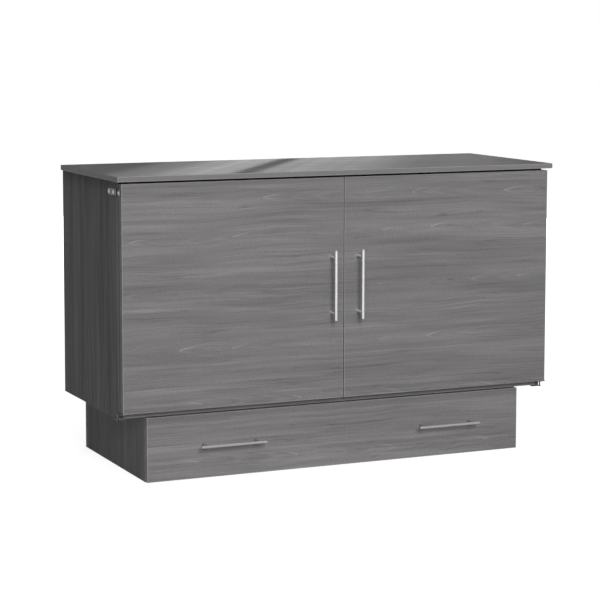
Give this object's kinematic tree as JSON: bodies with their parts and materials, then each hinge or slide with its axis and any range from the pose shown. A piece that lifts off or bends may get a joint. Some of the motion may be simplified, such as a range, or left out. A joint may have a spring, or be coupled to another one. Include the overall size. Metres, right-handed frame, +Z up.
{
  "type": "cabinet bed",
  "caption": "Closed cabinet bed in grey wood laminate with a hinged lid, two doors, a wide base drawer and round steel pulls; mattress, slats and pull-out deck frames inside",
  "frame": {"origin": "on the floor, at the middle of the width and of the whole depth, door pulls included", "axes": "+X to the right as seen from the front, +Y from the doors to the back, +Z up"},
  "size_m": [1.64, 0.735, 1.034],
  "materials": {
    "front_laminate": "satin",
    "side_laminate": "satin",
    "plain_board": "matte",
    "pull_steel": "satin",
    "hinge_steel": "satin",
    "screw_zinc": "satin",
    "bare_wood": "matte",
    "mattress_cloth": "matte",
    "webbing": "matte",
    "dark_plastic": "matte",
    "wheel_rubber": "matte"
  },
  "bodies": {
    "cabinet": {"case_side_left": "side_laminate", "case_side_right": "side_laminate", "case_floor": "side_laminate", "case_back_panel": "plain_board", "lid_hinge_rail": "side_laminate", "lid_rest_pads": "dark_plastic", "door_hinge_case_leaves": "hinge_steel", "door_hinge_pins": "hinge_steel", "door_pivot_feet": "hinge_steel", "case_hinge_screws": "screw_zinc", "lid_hinge_rail_leaves": "hinge_steel", "lid_hinge_pins": "hinge_steel", "magnetic_catches": "dark_plastic", "mattress_section_1": "mattress_cloth", "mattress_section_2": "mattress_cloth", "mattress_section_3": "mattress_cloth", "mattress_fold_cloths": "mattress_cloth", "bed_slats": "bare_wood", "slat_webbing": "webbing", "base_side_left": "side_laminate", "base_side_right": "side_laminate", "base_back_panel": "side_laminate", "base_cross_rail": "bare_wood", "case_base_screws": "screw_zinc"},
    "lid": {"lid_panel": "front_laminate", "lid_hinge_lid_leaves": "hinge_steel", "lid_hinge_screws": "screw_zinc"},
    "left_door": {"left_door_face": "front_laminate", "left_door_frame": "side_laminate", "left_door_pull": "pull_steel", "left_pull_screws": "screw_zinc", "left_hinge_screws": "screw_zinc", "left_door_hinge_leaves": "hinge_steel", "left_catch_plate": "hinge_steel"},
    "right_door": {"right_door_face": "front_laminate", "right_door_frame": "side_laminate", "right_door_pull": "pull_steel", "right_pull_screws": "screw_zinc", "right_hinge_screws": "screw_zinc", "right_door_hinge_leaves": "hinge_steel", "right_catch_plate": "hinge_steel"},
    "drawer": {"drawer_front": "front_laminate", "drawer_side_left": "plain_board", "drawer_side_right": "plain_board", "drawer_back": "plain_board", "drawer_bottom": "plain_board", "drawer_deck_frame": "bare_wood", "drawer_pull_left": "pull_steel", "drawer_pull_right": "pull_steel", "drawer_pull_screws": "screw_zinc", "caster_forks": "hinge_steel", "caster_axles": "hinge_steel"},
    "outer_deck": {"outer_deck_frame": "bare_wood", "outer_deck_glides": "dark_plastic"},
    "inner_deck": {"inner_deck_frame": "bare_wood", "inner_deck_glides": "dark_plastic"},
    "front_left_wheel": {"front_left_caster_wheel": "wheel_rubber"},
    "front_right_wheel": {"front_right_caster_wheel": "wheel_rubber"},
    "rear_left_wheel": {"rear_left_caster_wheel": "wheel_rubber"},
    "rear_right_wheel": {"rear_right_caster_wheel": "wheel_rubber"}
  },
  "joints": [
    {"name": "lid_hinge", "type": "hinge", "parent": "cabinet", "child": "lid", "pos_m": [0, 0.29, 1.0195], "axis": [-1, 0, 0], "range_deg": [0, 95]},
    {"name": "left_door_hinge", "type": "hinge", "parent": "cabinet", "child": "left_door", "pos_m": [-0.809, -0.274, 0.979], "axis": [0, 0, -1], "range_deg": [0, 180]},
    {"name": "right_door_hinge", "type": "hinge", "parent": "cabinet", "child": "right_door", "pos_m": [0.809, -0.274, 0.979], "axis": [0, 0, 1], "range_deg": [0, 180]},
    {"name": "drawer_slide", "type": "slide", "parent": "cabinet", "child": "drawer", "axis": [0, -1, 0], "range_m": [0, 1.464]},
    {"name": "outer_deck_slide", "type": "slide", "parent": "cabinet", "child": "outer_deck", "axis": [0, -1, 0], "range_m": [0, 0.976]},
    {"name": "inner_deck_slide", "type": "slide", "parent": "cabinet", "child": "inner_deck", "axis": [0, -1, 0], "range_m": [0, 0.488]},
    {"name": "front_left_wheel_spin", "type": "hinge", "parent": "drawer", "child": "front_left_wheel", "pos_m": [-0.6, -0.2095, 0.018], "axis": [1, 0, 0], "continuous": true},
    {"name": "front_right_wheel_spin", "type": "hinge", "parent": "drawer", "child": "front_right_wheel", "pos_m": [0.6, -0.2095, 0.018], "axis": [1, 0, 0], "continuous": true},
    {"name": "rear_left_wheel_spin", "type": "hinge", "parent": "drawer", "child": "rear_left_wheel", "pos_m": [-0.6, 0.1805, 0.018], "axis": [1, 0, 0], "continuous": true},
    {"name": "rear_right_wheel_spin", "type": "hinge", "parent": "drawer", "child": "rear_right_wheel", "pos_m": [0.6, 0.1805, 0.018], "axis": [1, 0, 0], "continuous": true}
  ],
  "couplings": [
    {"joint": "outer_deck_slide", "follows": "drawer_slide", "ratio": 0.66667},
    {"joint": "inner_deck_slide", "follows": "drawer_slide", "ratio": 0.33333},
    {"joint": "front_left_wheel_spin", "follows": "drawer_slide", "rad_per_m": 55.556},
    {"joint": "front_right_wheel_spin", "follows": "drawer_slide", "rad_per_m": 55.556},
    {"joint": "rear_left_wheel_spin", "follows": "drawer_slide", "rad_per_m": 55.556},
    {"joint": "rear_right_wheel_spin", "follows": "drawer_slide", "rad_per_m": 55.556}
  ]
}
